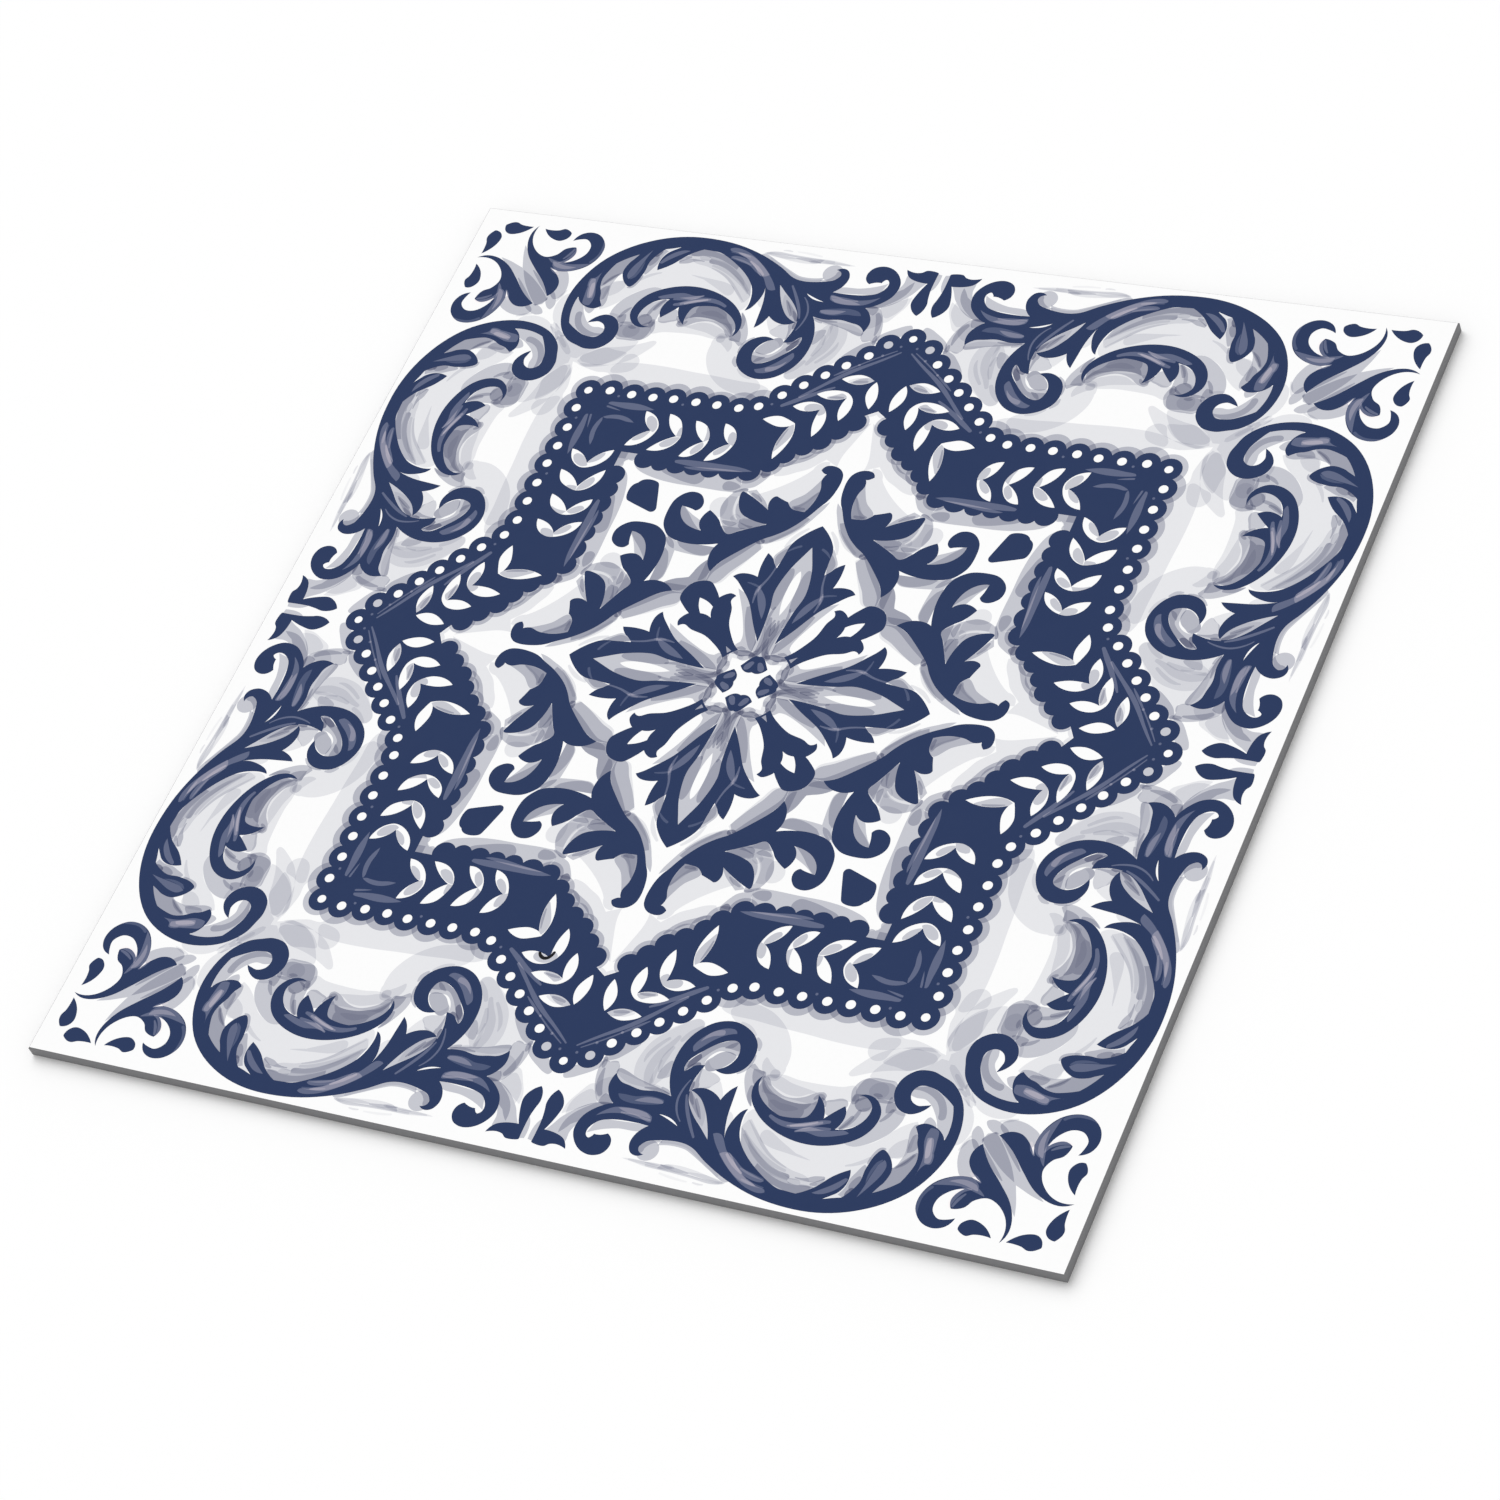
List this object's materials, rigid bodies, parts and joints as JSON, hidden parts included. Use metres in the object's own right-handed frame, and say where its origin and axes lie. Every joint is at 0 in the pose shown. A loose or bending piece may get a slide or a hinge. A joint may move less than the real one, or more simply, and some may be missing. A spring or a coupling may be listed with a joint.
{
  "type": "self-adhesive wall tile",
  "caption": "Thin square vinyl wall tile with a blue and white azulejo print on its face, grey cut edges and a flat self-adhesive back that sticks to a wall.",
  "frame": {"origin": "centre of the adhesive back face", "axes": "+Z out of the printed face, away from the wall; +X and +Y along the sides of the square"},
  "size_m": [0.2, 0.2, 0.0022],
  "materials": {
    "printed_vinyl": "satin white face printed in navy and grey, mid-grey cut edges, matt back"
  },
  "bodies": {
    "root": {"tile": "printed_vinyl"}
  },
  "joints": []
}
